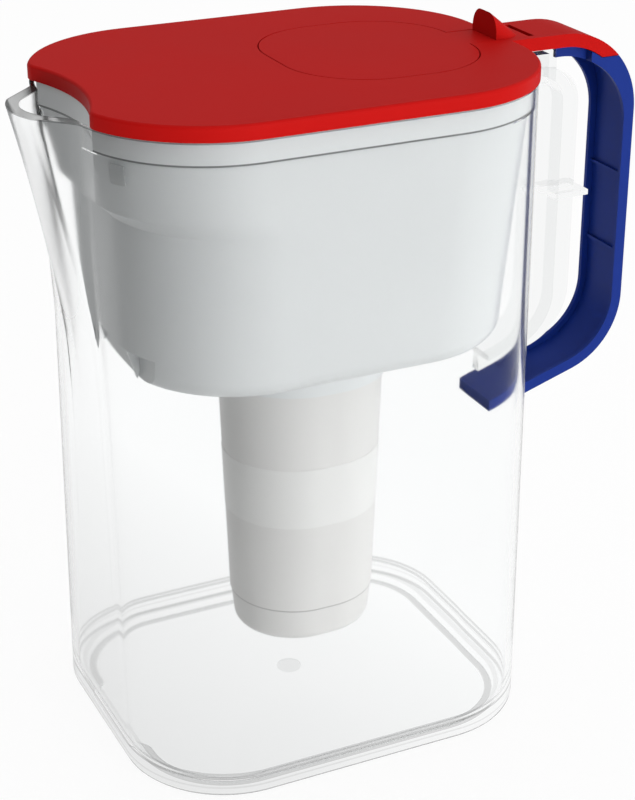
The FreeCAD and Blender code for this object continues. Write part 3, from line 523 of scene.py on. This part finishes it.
def jug_skin(inset, z, skin):
    """Points at every station for each profile row: the outline moved in by inset, joined with the beak."""
    side_x, side_y, turns = stations()
    inset, z, skin = (np.asarray(values, float)[:, None] for values in (inset, z, skin))
    left = np.interp(z, (0, WAIST, JUG_HEIGHT), (BASE_LEFT, WAIST_LEFT, RIM_REACH)) - inset
    right = np.interp(z, (0, JUG_HEIGHT), (BASE_RIGHT, RIM_REACH)) - inset
    half = np.interp(z, (0, JUG_HEIGHT), (BASE_HALF, RIM_HALF)) - inset
    corner = np.interp(z, (0, JUG_HEIGHT), (BASE_CORNER, RIM_CORNER)) - inset
    x = (right - left) / 2 + side_x * ((right + left) / 2 - corner) + corner * np.cos(turns * math.tau)
    y = side_y * (half - corner) + corner * np.sin(turns * math.tau)
    spout_end = (side_x < 0) & (np.abs(y) < BEAK_LIMIT)
    x = np.where(spout_end, soft_min(x, beak(y, z, skin), BEAK_BLEND), x)
    return np.stack([x, y, np.broadcast_to(z, x.shape)], axis=-1)


# %% [markdown]
# The profile is a list of rows, each with its height, how far it lies inside the outline, and how far it
# lies inside the beak. Round edges are quarter circles of a few rows. The floor's last rows turn from the
# rounded rectangle into the small round button that the moulding gate leaves in the middle.

# %% Profile of the wall
ROUND_STEPS = 6
FOOT_CLEAR = 6.0
WALL_STEP, RIM_STEP = 5.0, 3.0


def quarter(radius, inset, z, start):
    """Rows round a quarter circle about a centre, from a direction in quarter turns to the next one."""
    angle = (start + np.linspace(0, 1, ROUND_STEPS)) * math.pi / 2
    return np.stack([inset + radius * np.cos(angle), z + radius * np.sin(angle)], axis=-1)


def rise(inset, low, high, step):
    """Rows up or down a wall at one inset."""
    heights = np.linspace(low, high, max(2, int(abs(high - low) / step)))
    return np.stack([np.full_like(heights, inset), heights], axis=-1)


outside = np.concatenate([
    [(GROOVE_IN, 0), (GROOVE_IN, GROOVE_DEPTH), (GROOVE_OUT, GROOVE_DEPTH), (GROOVE_OUT, 0)],
    quarter(BASE_ROUND, BASE_ROUND, BASE_ROUND, 3) * (-1, 1) + (2 * BASE_ROUND, 0),
    rise(0, BASE_ROUND + FOOT_CLEAR, JUG_HEIGHT - RIM_ROUND, WALL_STEP),
    [(RIM_ROUND, JUG_HEIGHT)],
])
inside = np.concatenate([
    [(RIM_WALL - RIM_ROUND, JUG_HEIGHT)],
    rise(RIM_WALL, JUG_HEIGHT - RIM_ROUND, LEDGE, RIM_STEP),
    rise(WALL, LEDGE, FLOOR + FLOOR_ROUND, WALL_STEP),
    quarter(FLOOR_ROUND, WALL + FLOOR_ROUND, FLOOR + FLOOR_ROUND, 2)[1:],
])
profile = np.concatenate([outside, inside])
lip = LIP_EXTRA * np.clip((inside[:, 1] - JUG_HEIGHT) / LIP_HEIGHT + 1, 0, 1) ** 2
skins = np.concatenate([np.zeros(len(outside)), BEAK_WALL + lip])
print("profile rows:", len(outside), "outside,", len(inside), "inside")

# %% Skin and gate
FLOOR_SHARES = (0.35, 0.7, 1.0)

points = jug_skin(profile[:, 0], profile[:, 1], skins)
last = points[-1]
heading = np.arctan2(last[:, 1], last[:, 0])
button = np.stack([np.cos(heading), np.sin(heading)], axis=-1)
floor_rows = []
for share in FLOOR_SHARES:
    flat = last[:, :2] * (1 - share) + button * GATE_RADIUS * share
    floor_rows.append(np.column_stack([flat, np.full(len(flat), FLOOR)]))
for radius in (GATE_RADIUS, GATE_TOP_RADIUS):
    floor_rows.append(np.column_stack([button * radius, np.full(len(button), FLOOR + GATE_HEIGHT)]))
points = np.concatenate([points, floor_rows])
print("grid:", points.shape[0], "rows of", points.shape[1], "stations")


# %% The jug's mesh
def closed_skin(name, grid):
    """Mesh of a grid of points that closes round its columns, with one face on its first and last rows."""
    rows, columns = grid.shape[:2]
    number = np.arange(rows * columns).reshape(rows, columns)
    ahead = np.roll(number, -1, axis=1)
    quads = np.stack([number[:-1], ahead[:-1], ahead[1:], number[1:]], axis=-1).reshape(-1, 4)
    faces = quads.tolist() + [number[0, ::-1].tolist(), number[-1].tolist()]
    mesh = bpy.data.meshes.new(name)
    mesh.from_pydata(grid.reshape(-1, 3).tolist(), [], faces)
    mesh.shade_smooth()
    mesh.set_sharp_from_angle(angle=CREASE)
    obj = bpy.data.objects.new(name, mesh)
    scene.collection.objects.link(obj)
    return obj


def volume(grid):
    """Volume inside such a skin, from the flux of its points through its quads."""
    a, b = grid[:-1], np.roll(grid, -1, axis=1)[:-1]
    c, d = np.roll(grid, -1, axis=1)[1:], grid[1:]
    sides = np.einsum("...i,...i", a, np.cross(b, c)) + np.einsum("...i,...i", a, np.cross(c, d))
    ends = [np.einsum("...i,...i", row.mean(axis=0), np.cross(row, np.roll(row, -1, axis=0))).sum()
            for row in (grid[0][::-1], grid[-1])]
    return (sides.sum() + sum(ends)) / 6


jug = closed_skin("clear_jug", points * MM)
jug.data.materials.append(clear)
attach(jug, "pitcher")
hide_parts("pitcher_body")
print("clear_jug:", len(jug.data.polygons), "faces,", round(volume(points)), "mm3 of plastic")

# %% [markdown]
# Two small lugs inside the spout's corners keep the reservoir in place. Each is a ribbed pad on the wall: the
# jug's own skin between two stations, carried in by the ribs' profile, so that it follows the corner.

# %% Lugs
rib = (LUG_TOP - LUG_LOW) / (2 * LUG_RIBS - 1)
steps = np.repeat(np.arange(2 * LUG_RIBS), 2)[1:-1] * rib + LUG_LOW
depths = np.tile([LUG_DEPTH, LUG_DEPTH, LUG_WEB, LUG_WEB], LUG_RIBS)[:len(steps)]
ribs = np.column_stack([WALL + LUG_GAP + depths, steps])
back = [(WALL + LUG_GAP, LUG_TOP), (WALL + LUG_GAP, LUG_LOW)]
loop = np.concatenate([ribs, back])
pads = jug_skin(loop[:, 0], loop[:, 1], np.full(len(loop), BEAK_WALL))
middle = pads[0]
for name, side in (("near_lug", -1), ("far_lug", 1)):
    held = (middle[:, 0] < 0) & (np.abs(middle[:, 1] * side - LUG_Y) < LUG_LENGTH / 2)
    pad = pads[:, held].transpose(1, 0, 2)
    if volume(pad) < 0:
        pad = pad[:, ::-1]
    lug = closed_skin(name, pad * MM)
    lug.data.materials.append(lug_plastic)
    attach(lug, "pitcher")
    print(name, len(lug.data.polygons), "faces,", round(volume(pad), 1), "mm3")

# %% [markdown]
# ## The cartridge's label
# The housing carries a plain pale label. A second finish on the housing's own faces could stand for it, but a
# band of its own has an edge that catches the light. It follows the oval tube and its taper, about a tenth of
# a millimetre thick.

# %% Label band
FILTER_X, OVAL_STRAIGHT = 5.8, 3.5
SEAM_Z, SEAM_RADIUS = 46.0, 26.3
COLLAR_Z, COLLAR_RADIUS = 143.7, 29.6
LABEL_LOW, LABEL_TOP = 85.0, 111.0
LABEL_THICKNESS, LABEL_GAP = 0.12, 0.02
LABEL_STATIONS = 160


def label_ring(rows):
    """Closed rings round the oval tube: each row is a height and a distance from the tube's surface."""
    z, off = (np.asarray(values, float)[:, None] for values in zip(*rows))
    radius = np.interp(z, (SEAM_Z, COLLAR_Z), (SEAM_RADIUS, COLLAR_RADIUS)) + off
    angle = np.linspace(0, math.tau, LABEL_STATIONS, endpoint=False)
    x = FILTER_X + OVAL_STRAIGHT * np.sign(np.round(np.cos(angle), 9)) + radius * np.cos(angle)
    y = radius * np.sin(angle)
    return np.stack([x, y, np.broadcast_to(z, x.shape)], axis=-1)


inner, outer = LABEL_GAP, LABEL_GAP + LABEL_THICKNESS
ring = label_ring([(LABEL_LOW, inner), (LABEL_LOW, outer), (LABEL_TOP, outer), (LABEL_TOP, inner),
                   (LABEL_LOW, inner)])
count = ring.shape[1]
corner = np.arange(4 * count).reshape(4, count)
ahead = np.roll(corner, -1, axis=1)
above = np.roll(corner, -1, axis=0)
quads = np.stack([corner, ahead, np.roll(ahead, -1, axis=0), above], axis=-1).reshape(-1, 4)
label_mesh = bpy.data.meshes.new("filter_label")
label_mesh.from_pydata((ring[:4] * MM).reshape(-1, 3).tolist(), [], quads.tolist())
label_mesh.shade_smooth()
label_mesh.set_sharp_from_angle(angle=CREASE)
label_mesh.materials.append(label_paper)
label = bpy.data.objects.new("filter_label", label_mesh)
scene.collection.objects.link(label)
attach(label, "filter")
print("filter_label:", len(quads), "faces")
